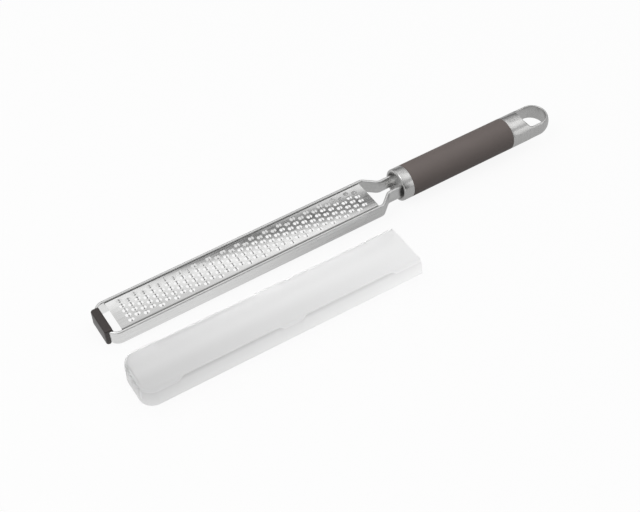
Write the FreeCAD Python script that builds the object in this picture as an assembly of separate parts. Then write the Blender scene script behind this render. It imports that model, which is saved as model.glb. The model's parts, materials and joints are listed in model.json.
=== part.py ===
import FreeCAD, Part
import math
import os
from FreeCAD import Vector

os.makedirs("parts", exist_ok=True)

# A rasp zester and its loose blade cover, in millimetres.
# The tool is drawn level: X runs from the nose to the hanging eye, Y across the blade, Z up.
# X = 0 is the front face of the frame and Z = 0 the underside of its rails.

# Blade frame, one steel strap on edge bent into a long U
frame_width = 31.3
rail_height = 11.5
strap_thickness = 2.2
nose_bend_radius = 6.9  # all bends are measured to the middle of the strap
neck_setback = 3.4  # blade's rear edge to where the rails turn inwards
neck_angle = 40.0  # degrees
neck_bend_radius = 5.0
prong_spacing = 12.8
prong_length = 11.4  # neck to ferrule
tang_height = 7.0
tang_length = 47.0
tang_end_round = 2.0

# Rasp blade, thin sheet with a turned-up flange along each rail
blade_setback = 9.1
blade_length = 205.0
blade_depth = 2.0  # rail top to the blade's upper face
blade_thickness = 0.5
flange_bend_radius = 0.8
flange_drop = 0.2  # rail top to the flange's edge

# Teeth, in rows that are staggered by half a pitch
tooth_rows = 34
teeth_in_wide_row = 5
tooth_side_margin = 1.25  # edge of the flat to the outer windows
first_row_margin = 9.1
last_row_margin = 7.3
window_width_share = 0.64  # of the distance between columns
window_length_share = 0.75  # of the distance between rows
window_corner_share = 0.25  # of the window's width, cut off each corner
bridge_length_share = 0.26  # of the window's length
bridge_slope_share = 0.27  # of the window's width, for each leg
bridge_height = 1.4

# Foot, a rubber clip over the nose
foot_width = 22.4
foot_front_thickness = 2.2
foot_lip_thickness = 1.5
foot_top_thickness = 1.3
foot_lip_depth = 1.9
foot_drop = 0.3  # below the rails
foot_top_round = 1.3
foot_edge_round = 0.6
foot_end_round = 1.4

# Handle, a tube of three lengths on one core
handle_radius = 12.5
handle_axis_height = 6.3
ferrule_length = 8.4
ferrule_lip_round = 1.3
mouth_radius = 10.4
mouth_depth = 4.4
mouth_edge_cut = 0.6
ferrule_floor_thickness = 1.5
grip_length = 93.3
joint_edge_cut = 0.25  # edge of each tube where two meet
core_radius = 9.3
pin_radius = 1.5
pin_length = 17.2
pin_edge_cut = 0.3
pin_depth_shares = (0.38, 0.77)  # of the tang's length

# Rear cap with its flattened hanging eye
cap_length = 41.0
cap_bore_depth = 8.0
scoop_start = 13.4  # from the front of the cap
tongue_start = 20.9
tongue_height = 12.4
eye_front = 17.0
eye_corner_radius = 1.5
eye_wall = 2.7

# Blade cover, thin translucent moulding lying beside the tool
cover_distance = 53.3  # between the middles of blade and cover
cover_height = 16.5
cover_wall = 1.0
cover_clearance = 1.0
cover_neck_clearance = 5.7
cover_rear_slope = 3.0
cover_corner_radius = 10.0
cover_edge_round = 4.5
panel_span_shares = ((0.121, 0.469), (0.547, 0.885))  # of the cover's length, from the front
panel_depth = 1.3  # at the top, running out to nothing at the rim
panel_end_angle = 70.0  # degrees

# Fits
strap_fit = 0.05
bore_fit = 0.15
overrun = 5.0  # past a face that is cut through
point_tolerance = 1e-6

# Sizes that follow from those above
frame_half_width = frame_width / 2
rail_middle = frame_half_width - strap_thickness / 2
prong_middle = prong_spacing / 2
blade_rear = blade_setback + blade_length
neck_start = blade_rear + neck_setback
neck_end = neck_start + (rail_middle - prong_middle) / math.tan(math.radians(neck_angle))
ferrule_start = neck_end + prong_length
ferrule_floor = ferrule_start + mouth_depth
tang_end = ferrule_floor + tang_length
blade_top = rail_height - blade_depth
blade_bottom = blade_top - blade_thickness
blade_half_width = frame_half_width - strap_thickness
flange_outer_radius = flange_bend_radius + blade_thickness
blade_flat_half = blade_half_width - flange_outer_radius
tooth_row_pitch = (blade_length - first_row_margin - last_row_margin) / (tooth_rows - 1)
tooth_field_width = 2 * (blade_flat_half - tooth_side_margin)
tooth_column_pitch = tooth_field_width / (teeth_in_wide_row - 1 + window_width_share)
window_length = tooth_row_pitch * window_length_share
window_width = tooth_column_pitch * window_width_share
bridge_length = window_length * bridge_length_share
grip_start = ferrule_start + ferrule_length
cap_start = grip_start + grip_length
cap_end = cap_start + cap_length
core_start = ferrule_floor + ferrule_floor_thickness
core_end = cap_start + cap_bore_depth
bore_radius = core_radius + bore_fit
cover_front = -(foot_front_thickness + cover_clearance + cover_wall)
cover_rear = neck_start - cover_neck_clearance
cover_half_width = frame_half_width + cover_clearance + cover_wall


def plan(x, y):
    return Vector(x, y, 0)


def side(x, z):
    return Vector(x, 0, z)


def section(y, z):
    return Vector(0, y, z)


def rounded_outline(corners, radii):
    """Closed outline whose corners are rounded to their radii, 0 for a sharp one."""
    edges = []
    starts = []
    ends = []
    for index, (corner, radius) in enumerate(zip(corners, radii)):
        back = (corners[index - 1] - corner).normalize()
        ahead = (corners[(index + 1) % len(corners)] - corner).normalize()
        half_angle = back.getAngle(ahead) / 2
        reach = radius / math.tan(half_angle)
        starts.append(corner + back * reach)
        ends.append(corner + ahead * reach)
        if radius > 0:
            inwards = (back + ahead).normalize()
            middle = corner + inwards * (radius / math.sin(half_angle) - radius)
            edges.append(Part.Arc(starts[-1], middle, ends[-1]).toShape())
    for end, start in zip(ends, starts[1:] + starts[:1]):
        if end.distanceToPoint(start) > point_tolerance:
            edges.append(Part.LineSegment(end, start).toShape())
    return Part.Wire(Part.__sortEdges__(edges))


def outline(corners):
    return rounded_outline(corners, [0] * len(corners))


def moved_left(corners, radii, distance):
    """The same bent path, shifted to the left of its direction."""
    directions = [(b - a).normalize() for a, b in zip(corners, corners[1:])]
    lefts = [Vector(-d.y, d.x, 0) for d in directions]
    moved = [corners[0] + lefts[0] * distance]
    moved_radii = [0]
    for index, radius in enumerate(radii):
        mitre = 1 + lefts[index].dot(lefts[index + 1])
        shift = (lefts[index] + lefts[index + 1]) * (distance / mitre)
        moved.append(corners[index + 1] + shift)
        turns_left = directions[index].cross(directions[index + 1]).z > 0
        moved_radii.append(radius - distance if turns_left else radius + distance)
    moved.append(corners[-1] + lefts[-1] * distance)
    moved_radii.append(0)
    return moved, moved_radii


def strap(margin):
    """The bent strap at full height, grown by the margin on both of its faces."""
    nose_middle = strap_thickness / 2
    half_path = [plan(tang_end, prong_middle), plan(neck_end, prong_middle),
                 plan(neck_start, rail_middle), plan(nose_middle, rail_middle)]
    other_half = [plan(p.x, -p.y) for p in reversed(half_path)]
    half_radii = [neck_bend_radius, neck_bend_radius, nose_bend_radius]
    path = half_path + other_half
    radii = half_radii + half_radii[::-1]
    left, left_radii = moved_left(path, radii, strap_thickness / 2 + margin)
    right, right_radii = moved_left(path, radii, -strap_thickness / 2 - margin)
    wire = rounded_outline(left + right[::-1], left_radii + right_radii[::-1])
    return Part.Face(wire).extrude(Vector(0, 0, rail_height))


def across(wire, half_width):
    """A side view drawn through from -half_width to +half_width."""
    face = Part.Face(wire)
    face.translate(Vector(0, -half_width, 0))
    return face.extrude(Vector(0, 2 * half_width, 0))


def turned(wire):
    """A half section swung round the axis of the handle."""
    face = Part.Face(wire)
    return face.revolve(Vector(0, 0, handle_axis_height), Vector(1, 0, 0), 360)


def above_axis(x, radius):
    return side(x, handle_axis_height + radius)


def pins(radius, length, edge_cut):
    """Both tang pins, lying across the handle."""
    solids = []
    for depth_share in pin_depth_shares:
        start = Vector(ferrule_floor + tang_length * depth_share, -length / 2, handle_axis_height)
        pin = Part.makeCylinder(radius, length, start, Vector(0, 1, 0))
        if edge_cut > 0:
            rims = [edge for edge in pin.Edges if edge.Closed]
            pin = pin.makeChamfer(edge_cut, rims)
        solids.append(pin)
    return Part.makeCompound(solids)


def tang_slots():
    """Clearance for the two tangs through the handle's inner pieces."""
    slots = []
    half_slot = strap_thickness / 2 + strap_fit
    half_height = tang_height / 2 + strap_fit
    for middle in (-prong_middle, prong_middle):
        corner = Vector(ferrule_floor - overrun, middle - half_slot, handle_axis_height - half_height)
        slots.append(Part.makeBox(overrun + tang_length + strap_fit, 2 * half_slot, 2 * half_height, corner))
    return slots


def make_blade_frame():
    tang_low = handle_axis_height - tang_height / 2
    tang_high = handle_axis_height + tang_height / 2
    corners = [side(-overrun, 0), side(ferrule_floor, 0), side(ferrule_floor, tang_low),
               side(tang_end, tang_low), side(tang_end, tang_high),
               side(ferrule_floor, tang_high), side(ferrule_floor, rail_height), side(-overrun, rail_height)]
    radii = [0, 0, 0, tang_end_round, tang_end_round, 0, 0, 0]
    side_view = across(rounded_outline(corners, radii), frame_width)
    frame = strap(0).common(side_view)
    return frame.cut(pins(pin_radius + bore_fit, frame_width, 0))


def tooth_centres():
    """Middles of the tooth windows, wide and narrow rows in turn from the front."""
    centres = []
    for row in range(tooth_rows):
        count = teeth_in_wide_row - row % 2
        x = blade_setback + first_row_margin + row * tooth_row_pitch
        for column in range(count):
            y = (column - (count - 1) / 2) * tooth_column_pitch
            centres.append((x, y))
    return centres


def tooth_window(x, y):
    """Eight-sided hole etched round one tooth."""
    half_length = window_length / 2
    half_width = window_width / 2
    corner_cut = window_width * window_corner_share
    short_length = half_length - corner_cut
    short_width = half_width - corner_cut
    steps = [(half_length, short_width), (short_length, half_width),
             (-short_length, half_width), (-half_length, short_width),
             (-half_length, -short_width), (-short_length, -half_width),
             (short_length, -half_width), (half_length, -short_width)]
    return outline([Vector(x + dx, y + dy, blade_bottom) for dx, dy in steps])


def tooth_bridge(x, y):
    """Strip that is left across the window and pressed up, with a cutting edge fore and aft."""
    half_width = window_width / 2
    half_top = half_width - window_width * bridge_slope_share
    upper = [(-half_width, blade_top), (-half_top, blade_top + bridge_height),
             (half_top, blade_top + bridge_height), (half_width, blade_top)]
    lower = [(dy, z - blade_thickness) for dy, z in reversed(upper)]
    profile = Part.Face(outline([section(dy, z) for dy, z in upper + lower]))
    profile.translate(Vector(x - bridge_length / 2, y, 0))
    return profile.extrude(Vector(bridge_length, 0, 0))


def make_flange():
    """Upturned long edge of the blade on the far side."""
    inner_face = blade_half_width - blade_thickness
    flange_top = rail_height - flange_drop
    corners = [section(blade_flat_half, blade_bottom), section(blade_half_width, blade_bottom),
               section(blade_half_width, flange_top), section(inner_face, flange_top),
               section(inner_face, blade_top), section(blade_flat_half, blade_top)]
    radii = [0, flange_outer_radius, 0, 0, flange_bend_radius, 0]
    profile = Part.Face(rounded_outline(corners, radii))
    profile.translate(Vector(blade_setback, 0, 0))
    return profile.extrude(Vector(blade_length, 0, 0))


def make_rasp_blade():
    edge = outline([Vector(blade_setback, -blade_flat_half, blade_bottom),
                    Vector(blade_rear, -blade_flat_half, blade_bottom),
                    Vector(blade_rear, blade_flat_half, blade_bottom),
                    Vector(blade_setback, blade_flat_half, blade_bottom)])
    windows = [tooth_window(x, y) for x, y in tooth_centres()]
    sheet = Part.makeFace([edge] + windows, "Part::FaceMakerCheese")
    plate = sheet.extrude(Vector(0, 0, blade_thickness))
    bridges = [tooth_bridge(x, y) for x, y in tooth_centres()]
    flange = make_flange()
    other_flange = flange.mirror(Vector(0, 0, 0), Vector(0, 1, 0))
    return plate.multiFuse(bridges + [flange, other_flange])


def make_nose_foot():
    front = -foot_front_thickness
    rear = strap_thickness + foot_lip_thickness
    top = rail_height + foot_top_thickness
    half_width = foot_width / 2
    side_view = rounded_outline(
        [side(front, -foot_drop), side(rear, -foot_drop), side(rear, top), side(front, top)],
        [foot_edge_round, 0, foot_top_round, foot_top_round])
    plan_view = rounded_outline(
        [plan(front, -half_width), plan(rear, -half_width), plan(rear, half_width), plan(front, half_width)],
        [foot_end_round] * 4)
    column = Part.Face(plan_view)
    column.translate(Vector(0, 0, -overrun))
    column = column.extrude(Vector(0, 0, top + 2 * overrun))
    block = across(side_view, half_width).common(column)
    groove = strap(strap_fit)
    groove_below = groove.copy()
    groove_below.translate(Vector(0, 0, -overrun))
    under_lip = Part.makeBox(
        rear + overrun, foot_width + 2 * overrun, rail_height - foot_lip_depth + overrun,
        Vector(strap_thickness / 2, -half_width - overrun, -overrun))
    return block.cut([groove, groove_below, under_lip])


def make_front_ferrule():
    floor_back = ferrule_floor + ferrule_floor_thickness
    corners = [above_axis(ferrule_floor, 0), above_axis(ferrule_floor, mouth_radius),
               above_axis(ferrule_start + mouth_edge_cut, mouth_radius),
               above_axis(ferrule_start, mouth_radius + mouth_edge_cut),
               above_axis(ferrule_start, handle_radius),
               above_axis(grip_start - joint_edge_cut, handle_radius),
               above_axis(grip_start, handle_radius - joint_edge_cut),
               above_axis(grip_start, bore_radius),
               above_axis(floor_back, bore_radius), above_axis(floor_back, 0)]
    radii = [0, 0, 0, 0, ferrule_lip_round, 0, 0, 0, 0, 0]
    return turned(rounded_outline(corners, radii)).cut(tang_slots())


def make_grip_sleeve():
    edge_radius = handle_radius - joint_edge_cut
    corners = [above_axis(grip_start, bore_radius), above_axis(grip_start, edge_radius),
               above_axis(grip_start + joint_edge_cut, handle_radius),
               above_axis(cap_start - joint_edge_cut, handle_radius),
               above_axis(cap_start, edge_radius), above_axis(cap_start, bore_radius)]
    return turned(outline(corners))


def make_handle_core():
    corners = [above_axis(core_start, 0), above_axis(core_start, core_radius),
               above_axis(core_end, core_radius), above_axis(core_end, 0)]
    core = turned(outline(corners)).cut(tang_slots())
    return core.cut(pins(pin_radius + bore_fit, frame_width, 0))


def eye_outline():
    """D-shaped hole: square at the front, round at the rear."""
    centre = cap_end - handle_radius
    front = cap_start + eye_front
    half_width = handle_radius - eye_wall
    rear = centre + half_width
    corners = [plan(front, -half_width), plan(rear, -half_width),
               plan(rear, half_width), plan(front, half_width)]
    radii = [eye_corner_radius, half_width, half_width, eye_corner_radius]
    return rounded_outline(corners, radii)


def make_scoop():
    """The metal taken from above the tongue, running out in a hollow curve at the front."""
    start = cap_start + scoop_start
    level = cap_start + tongue_start
    half_tongue = tongue_height / 2
    run = level - start
    rise = handle_radius - half_tongue
    hollow_radius = (run * run + rise * rise) / (2 * rise)
    half_sweep = math.asin(run / hollow_radius) / 2
    halfway = above_axis(level - hollow_radius * math.sin(half_sweep),
                         half_tongue + hollow_radius * (1 - math.cos(half_sweep)))
    corner = above_axis(start, handle_radius)
    points = [above_axis(level, half_tongue), above_axis(cap_end + overrun, half_tongue),
              above_axis(cap_end + overrun, handle_radius + overrun),
              above_axis(start, handle_radius + overrun), corner]
    edges = [Part.LineSegment(a, b).toShape() for a, b in zip(points, points[1:])]
    edges.append(Part.Arc(corner, halfway, points[0]).toShape())
    return across(Part.Wire(Part.__sortEdges__(edges)), handle_radius + overrun)


def make_rear_cap():
    corners = [above_axis(core_end, 0), above_axis(core_end, bore_radius),
               above_axis(cap_start, bore_radius), above_axis(cap_start, handle_radius - joint_edge_cut),
               above_axis(cap_start + joint_edge_cut, handle_radius),
               above_axis(cap_end, handle_radius), above_axis(cap_end, 0)]
    radii = [0, 0, 0, 0, 0, handle_radius, 0]
    cap = turned(rounded_outline(corners, radii))
    upper_scoop = make_scoop()
    lower_scoop = upper_scoop.mirror(above_axis(0, 0), Vector(0, 0, 1))
    cap = cap.cut([upper_scoop, lower_scoop])
    hole = Part.Face(eye_outline()).extrude(Vector(0, 0, 2 * handle_radius))
    hole.translate(Vector(0, 0, handle_axis_height - handle_radius))
    return cap.cut(hole)


def cover_block(bottom, top, inset, rear_margin):
    """Block with round corners at the front and its top edges rounded, all but the one at the rear."""
    half_width = cover_half_width - inset
    front = cover_front + inset
    rear = cover_rear + rear_margin
    corners = [Vector(rear, -half_width, bottom), Vector(rear, half_width, bottom),
               Vector(front, half_width, bottom), Vector(front, -half_width, bottom)]
    corner_radius = cover_corner_radius - inset
    floor = Part.Face(rounded_outline(corners, [0, 0, corner_radius, corner_radius]))
    block = floor.extrude(Vector(0, 0, top - bottom))
    top_edges = []
    for edge in block.Edges:
        at_top = all(abs(vertex.Z - top) < point_tolerance for vertex in edge.Vertexes)
        at_rear = all(abs(vertex.X - rear) < point_tolerance for vertex in edge.Vertexes)
        if at_top and not at_rear:
            top_edges.append(edge)
    return block.makeFillet(cover_edge_round - inset, top_edges)


def panel_outline(start, end, height, inset):
    """Plan of what a side panel takes off at one height, deeper higher up and with sloping ends."""
    floor = cover_half_width - inset - panel_depth * height / cover_height
    outside = cover_half_width + overrun
    run = (outside - floor) * math.tan(math.radians(panel_end_angle))
    return outline([Vector(start, floor, height), Vector(end, floor, height),
                    Vector(end + run, outside, height), Vector(start - run, outside, height)])


def cover_panels(inset):
    """The flat panels on both skirts, two to a side."""
    panels = []
    length = cover_rear - cover_front
    for start_share, end_share in panel_span_shares:
        start = cover_front + length * start_share
        end = cover_front + length * end_share
        levels = [panel_outline(start, end, height, inset) for height in (-overrun, cover_height + overrun)]
        panel = Part.makeLoft(levels, True, True)
        panels.append(panel)
        panels.append(panel.mirror(Vector(0, 0, 0), Vector(0, 1, 0)))
    return panels


def make_blade_cover():
    shell = cover_block(0, cover_height, 0, 0).cut(cover_panels(0))
    hollow = cover_block(-overrun, cover_height - cover_wall, cover_wall, overrun)
    above = cover_height + overrun
    rear_cut = across(outline([
        side(cover_rear, 0), side(cover_rear + overrun, 0), side(cover_rear + overrun, above),
        side(cover_rear - cover_rear_slope * above / cover_height, above)]), cover_half_width + overrun)
    cover = shell.cut([hollow.cut(cover_panels(cover_wall)), rear_cut])
    cover.translate(Vector(0, -cover_distance, 0))
    return cover


def rest_tilt():
    """Angle at which the foot's front edge and the ferrule's lip both touch the table."""
    run = ferrule_start + ferrule_lip_round - (foot_edge_round - foot_front_thickness)
    drop = foot_edge_round - foot_drop - (handle_axis_height - handle_radius + ferrule_lip_round)
    round_difference = ferrule_lip_round - foot_edge_round
    return math.asin(round_difference / math.hypot(run, drop)) + math.atan2(drop, run)


tool = {
    "rasp_blade": make_rasp_blade(),
    "blade_frame": make_blade_frame(),
    "nose_foot": make_nose_foot(),
    "front_ferrule": make_front_ferrule(),
    "grip_sleeve": make_grip_sleeve(),
    "rear_cap": make_rear_cap(),
    "handle_core": make_handle_core(),
    "tang_pins": pins(pin_radius, pin_length, pin_edge_cut),
}

# The tool rests on its foot and its ferrule, nose down, beside the cover.
for shape in tool.values():
    shape.rotate(Vector(0, 0, 0), Vector(0, 1, 0), -math.degrees(rest_tilt()))
table_height = tool["nose_foot"].optimalBoundingBox(False, False).ZMin
for shape in tool.values():
    shape.translate(Vector(0, 0, -table_height))

# The origin is under the middle of the whole set.
pieces = dict(tool, blade_cover=make_blade_cover())
bounds = FreeCAD.BoundBox()
for shape in pieces.values():
    bounds.add(shape.optimalBoundingBox(False, False))
for name, shape in pieces.items():
    shape.translate(Vector(-bounds.Center.x, -bounds.Center.y, 0))
    shape.exportStep("parts/" + name + ".step")
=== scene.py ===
import json
import math

import bmesh
import bpy
from bpy.props import FloatProperty, FloatVectorProperty, IntProperty, PointerProperty
from mathutils import Matrix, Vector


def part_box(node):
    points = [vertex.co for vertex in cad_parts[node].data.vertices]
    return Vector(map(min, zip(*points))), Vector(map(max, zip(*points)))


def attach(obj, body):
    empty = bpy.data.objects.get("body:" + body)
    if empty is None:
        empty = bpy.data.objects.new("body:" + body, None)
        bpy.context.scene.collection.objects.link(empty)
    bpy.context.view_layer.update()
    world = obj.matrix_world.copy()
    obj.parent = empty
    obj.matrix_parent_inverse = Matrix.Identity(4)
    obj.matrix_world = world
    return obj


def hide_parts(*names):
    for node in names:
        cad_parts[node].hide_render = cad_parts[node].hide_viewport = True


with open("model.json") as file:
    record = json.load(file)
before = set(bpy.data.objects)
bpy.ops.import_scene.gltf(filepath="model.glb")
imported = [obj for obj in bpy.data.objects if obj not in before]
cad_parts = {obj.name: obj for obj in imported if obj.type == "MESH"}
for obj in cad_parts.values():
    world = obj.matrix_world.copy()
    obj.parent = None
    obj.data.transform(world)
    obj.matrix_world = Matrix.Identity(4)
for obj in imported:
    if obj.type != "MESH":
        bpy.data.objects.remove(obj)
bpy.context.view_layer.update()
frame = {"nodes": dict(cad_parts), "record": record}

bl_info = {
    "name": "Rasp Zester",
    "version": (1, 0, 0),
    "blender": (4, 5, 0),
    "location": "3D View > Sidebar > Zester",
    "description": "Dresses the packed rasp zester and its blade cover for a studio picture",
    "category": "Object",
}

COVER_LOW, COVER_HIGH = (Vector(corner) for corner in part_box("blade_cover"))
QUARTER = math.pi / 2
WHITE = (1.0, 1.0, 1.0, 1.0)
# Where most values of a noise texture lie
NOISE_SPAN = (0.25, 0.75)


# Settings

def setting(kind, **fixed):
    """Maker of one kind of setting, which takes a name, a description and a default."""
    def make(name, description, default):
        return kind(name=name, description=description, default=default, **fixed)
    return make


length = setting(FloatProperty, min=0.0, precision=5, unit="LENGTH")
share = setting(FloatProperty, min=0.0, max=1.0, subtype="FACTOR")
angle = setting(FloatProperty, subtype="ANGLE")
count = setting(IntProperty, min=1)
colour = setting(FloatVectorProperty, size=3, min=0.0, max=1.0, subtype="COLOR")
spot = setting(FloatVectorProperty, size=3, subtype="TRANSLATION", unit="LENGTH")


class ZesterFrameSettings(bpy.types.PropertyGroup):
    """Sizes of the bent strap and of the rubber foot on its nose."""

    width: length("Width", "Outside width over both rails", 0.0313)
    height: length("Height", "Height of the strap", 0.0115)
    thickness: length("Thickness", "Thickness of the strap", 0.0022)
    edge_round: length("Edge rounding", "Radius of the strap's long edges", 0.0009)
    nose_bend: length("Nose bend", "Bend at the nose, to the middle of the strap", 0.0069)
    neck_bend: length("Neck bend", "Bends of the neck, to the middle of the strap", 0.005)
    neck_angle: angle("Neck angle", "Slope of the neck against the rails", math.radians(40))
    neck_setback: length("Neck setback", "From the blade's rear edge to the neck", 0.0034)
    prong_spacing: length("Prong spacing", "Between the middles of the prongs", 0.0128)
    prong_length: length("Prong length", "From the neck to the ferrule", 0.0114)
    tang_height: length("Tang height", "Height of the prongs inside the handle", 0.007)
    tang_length: length("Tang length", "Length of the prongs inside the handle", 0.047)
    foot_width: length("Foot width", "Width of the rubber clip", 0.0224)
    foot_end_round: length("Foot ends", "Radius of the clip's ends in plan", 0.0014)
    foot_front: length("Foot front", "Rubber in front of the strap", 0.0022)
    foot_lip: length("Foot lip", "Rubber behind the strap", 0.0015)
    foot_lip_least: length("Foot lip least", "Least rubber behind the strap, at the ends", 0.0003)
    foot_lip_depth: length("Foot lip depth", "How far the lip hangs below the strap's top", 0.0019)
    foot_top: length("Foot top", "Rubber above the strap", 0.0013)
    foot_drop: length("Foot drop", "How far the foot stands below the rails", 0.0003)
    foot_mount: length("Foot mount", "Height of the foot's mount above the rails' underside", 0.006)
    foot_fit: length("Foot fit", "Gap between rubber and strap", 0.00005)
    steel: colour("Steel", "Colour of the strap", (0.74, 0.74, 0.735))
    rubber: colour("Rubber", "Colour of the foot", (0.044, 0.034, 0.032))


class ZesterBladeSettings(bpy.types.PropertyGroup):
    """Sizes of the toothed sheet."""

    setback: length("Setback", "From the nose to the front edge", 0.0091)
    length: length("Length", "Length of the sheet", 0.205)
    depth: length("Depth", "From the rails' top down to the sheet", 0.0003)
    thickness: length("Thickness", "Thickness of the sheet", 0.0005)
    slot: length("Slot", "Gap between the flanges and the rails", 0.0004)
    bow: length("Bow", "How far the middle of the sheet bulges up, in the shading only", 0.0004)
    flange_bend: length("Flange bend", "Inside radius of the turned-down edges", 0.0003)
    flange_drop: length("Flange drop", "From the sheet's top down to the flange's edge", 0.003)
    rows: count("Rows", "Rows of teeth", 34)
    teeth: count("Teeth", "Teeth in a wide row", 5)
    first_row: length("First row", "From the front edge to the first row", 0.0089)
    last_row: length("Last row", "From the last row to the rear edge", 0.0081)
    side_margin: length("Side margin", "From the outer windows to the edge of the flat", 0.0015)
    window_width_share: share("Window width", "Window's share of the distance between columns", 0.68)
    window_length_share: share("Window length", "Window's share of the distance between rows", 0.75)
    window_corner: length("Window corner", "Radius of the windows' corners", 0.0014)
    tooth_length_share: share("Tooth length", "Tooth's share of the window's length", 0.24)
    tooth_keel_share: share("Tooth keel", "Underside's share of the tooth's length", 0.25)
    tooth_height: length("Tooth height", "Height of the teeth above the sheet", 0.0007)
    tooth_lean: angle("Tooth lean", "Slope of a tooth's top, down to the rear", math.radians(5.0))
    steel: colour("Steel", "Colour of the sheet", (0.68, 0.68, 0.675))


class ZesterHandleSettings(bpy.types.PropertyGroup):
    """Sizes of ferrule, grip and rear cap."""

    radius: length("Radius", "Outside radius of the handle", 0.0125)
    axis_height: length("Axis height", "Height of the axis above the rails' underside", 0.0063)
    ferrule_length: length("Ferrule length", "Length of the ferrule", 0.0084)
    lip_round: length("Lip rounding", "Radius of the ferrule's front lip", 0.0013)
    mouth_radius: length("Mouth radius", "Radius of the ferrule's mouth", 0.0104)
    mouth_depth: length("Mouth depth", "Depth of the ferrule's mouth", 0.0044)
    mouth_round: length("Mouth rounding", "Inside radius of the ferrule's lip", 0.0006)
    floor_thickness: length("Floor thickness", "Thickness of the ferrule's floor", 0.0015)
    bore_radius: length("Bore radius", "Radius of the core's bore", 0.00945)
    grip_length: length("Grip length", "Length of the grip", 0.0933)
    joint_round: length("Joint rounding", "Edge radius where two tubes meet", 0.00022)
    cap_length: length("Cap length", "Length of the rear cap", 0.041)
    scoop_start: length("Scoop start", "From the cap's front to the scoops", 0.0134)
    tongue_start: length("Tongue start", "From the cap's front to the flat tongue", 0.0209)
    tongue_height: length("Tongue height", "Height of the flat tongue", 0.0124)
    eye_front: length("Eye front", "From the cap's front to the eye", 0.017)
    eye_corner: length("Eye corner", "Radius of the eye's front corners", 0.0015)
    eye_wall: length("Eye wall", "Metal round the eye", 0.0027)
    eye_round: length("Eye rounding", "Edge radius of the tongue", 0.0004)
    eye_round_run: length("Rounding run", "Length over which the tongue's edges grow round", 0.002)
    steel: colour("Steel", "Colour of ferrule and cap", (0.66, 0.657, 0.65))
    grip: colour("Grip", "Colour of the grip", (0.172, 0.144, 0.134))
    core: colour("Core", "Colour of the hidden core", (0.03, 0.03, 0.03))


class ZesterCoverSettings(bpy.types.PropertyGroup):
    """Sizes of the loose blade cover. Its length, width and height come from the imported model."""

    wall: length("Wall", "Thickness of the plastic", 0.001)
    rim_round: length("Rim rounding", "Bevel of the rims", 0.0002)
    corner: length("Corner", "Radius of the front corners in plan", 0.01)
    edge_round: length("Edge rounding", "Radius of the top edges", 0.0022)
    ridge_round: length("Ridge rounding", "Softness of the ridge over a side panel", 0.0008)
    rear_slope: length("Rear slope", "How much shorter the top is at the rear", 0.003)
    rear_slope_run: length("Rear slope run", "Length over which the rear slope fades in", 0.012)
    panel_depth: length("Panel depth", "Depth of the side panels at the top", 0.0013)
    panel_run: length("Panel run", "Length over which a panel fades in", 0.0045)
    front_panel_start: share("Front panel start", "Share of the cover's length", 0.113)
    front_panel_end: share("Front panel end", "Share of the cover's length", 0.477)
    rear_panel_start: share("Rear panel start", "Share of the cover's length", 0.539)
    rear_panel_end: share("Rear panel end", "Share of the cover's length", 0.893)
    # Painted light and shade on the cover: each vertex gets a colour between these two, lighter towards the
    # rear, down the skirt and on the far side
    painted_shade: colour("Dense plastic", "Colour where the cover lets least light through", (0.55, 0.55, 0.55))
    thin: colour("Thin plastic", "Colour where the cover lets most light through", (1.0, 1.0, 1.0))
    painted_light_front: share("Thin front", "How thin the plastic looks at the front of the top", 0.24)
    painted_light_rear: share("Thin rear", "What is added towards the rear", 0.5)
    painted_light_rim: share("Thin rim", "What is added down to the rim", 0.27)
    painted_light_middle: share("Thin middle", "What is added from the middle of the top to the far side", 0.14)
    painted_light_far_top: share("Thin far top", "What is added at the far edge of the top", 0.35)
    painted_light_far_skirt: share("Thin far skirt", "What is added in the far skirt", 0.55)


class ZesterStageSettings(bpy.types.PropertyGroup):
    """Camera, floor and light."""

    camera_place: spot("Camera", "Where the camera stands", (-0.32886, -0.43156, 0.59970))
    camera_target: spot("Target", "Point at the middle of the picture", (-0.03087, 0.00511, 0.00420))
    camera_roll: angle("Roll", "Turn of the camera about its line of sight", math.radians(1.772))
    focal_length: FloatProperty(name="Focal length", description="In millimetres, for a 36 mm sensor",
                                default=63.6, min=1.0)
    floor_size: length("Floor size", "Side of the square floor", 30.0)
    floor: colour("Floor", "Colour of the floor", (1.0, 1.0, 1.0))
    floor_bounce: share("Floor bounce", "How much light the floor throws back at the object", 0.3)
    floor_glow: share("Floor glow", "How far the floor shines where it is seen straight", 0.9)
    gap_light: share("Gap light", "What is left of the light in the tent's gap", 0.11)


# Placing

def tool_placement(strap):
    """Matrix that takes the level tool to where it rests, read from the mount on its foot."""
    mount = next(m for m in frame["record"]["mounts"] if m["name"] == "foot_face")
    along = -Vector(mount["axis"]).normalized()
    across = Vector((0.0, 1.0, 0.0))
    turn = Matrix((along, across, along.cross(across))).transposed()
    mount_on_tool = Vector((-strap.foot_front, 0.0, strap.foot_mount))
    origin = Vector(mount["pos_m"]) - turn @ mount_on_tool
    return Matrix.Translation(origin) @ turn.to_4x4()


def neck_stations(scene):
    """Where the rails turn inwards and where the prongs begin, along the tool."""
    strap = scene.zester_frame
    rail_middle = (strap.width - strap.thickness) / 2
    start = scene.zester_blade.setback + scene.zester_blade.length + strap.neck_setback
    return start, start + (rail_middle - strap.prong_spacing / 2) / math.tan(strap.neck_angle)


def handle_stations(scene):
    """Fronts of the ferrule, its floor, the grip and the cap, and the end of the cap."""
    handle = scene.zester_handle
    ferrule = neck_stations(scene)[1] + scene.zester_frame.prong_length
    grip = ferrule + handle.ferrule_length
    cap = grip + handle.grip_length
    return {"ferrule": ferrule, "floor": ferrule + handle.mouth_depth, "grip": grip, "cap": cap,
            "end": cap + handle.cap_length}


# Mesh helpers

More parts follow.
